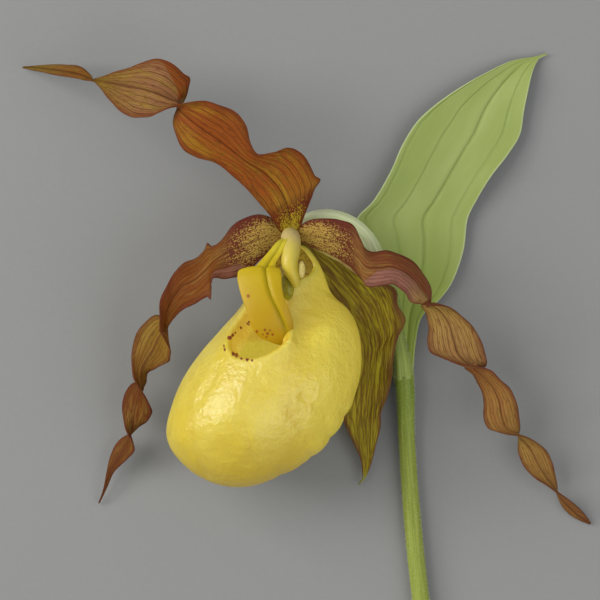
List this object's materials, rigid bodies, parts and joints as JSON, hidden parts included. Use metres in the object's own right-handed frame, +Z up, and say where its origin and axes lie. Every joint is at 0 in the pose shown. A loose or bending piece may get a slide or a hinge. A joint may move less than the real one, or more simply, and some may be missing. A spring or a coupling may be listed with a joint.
{
  "type": "lady's slipper orchid flower",
  "caption": "Picked lady's slipper orchid lying on its back: hollow slipper-shaped lip, twisted sepals and petals, arched ovary, leafy bract and cut stem.",
  "frame": {"origin": "on the table, under the middle of the whole object's box", "axes": "+Z up from the table, which is the way the flower faces; +Y from the cut end of the stem towards the bract's tip; +X to the right of the picture"},
  "size_m": [0.1158, 0.1512, 0.0338],
  "materials": {
    "stem": "soft green stem with short pale hairs",
    "bract": "matte light green leaf with sunken veins",
    "ovary": "pale green with short hairs",
    "dorsal_sepal": "satin red-brown petal tissue with fine veins",
    "synsepal": "satin olive with dark brown stripes",
    "petal_left": "satin brown petal tissue with spots at the base",
    "petal_right": "satin brown petal tissue with spots at the base",
    "labellum": "waxy clear yellow",
    "column": "waxy pale yellow to white",
    "staminode": "waxy deep yellow with red dots",
    "anther_left": "pale yellow",
    "anther_right": "pale yellow",
    "stigma": "pale green"
  },
  "bodies": {
    "root": {"stem": "stem", "bract": "bract", "ovary": "ovary", "dorsal_sepal": "dorsal_sepal", "synsepal": "synsepal", "petal_left": "petal_left", "petal_right": "petal_right", "labellum": "labellum", "column": "column", "staminode": "staminode", "anther_left": "anther_left", "anther_right": "anther_right", "stigma": "stigma"}
  },
  "joints": []
}
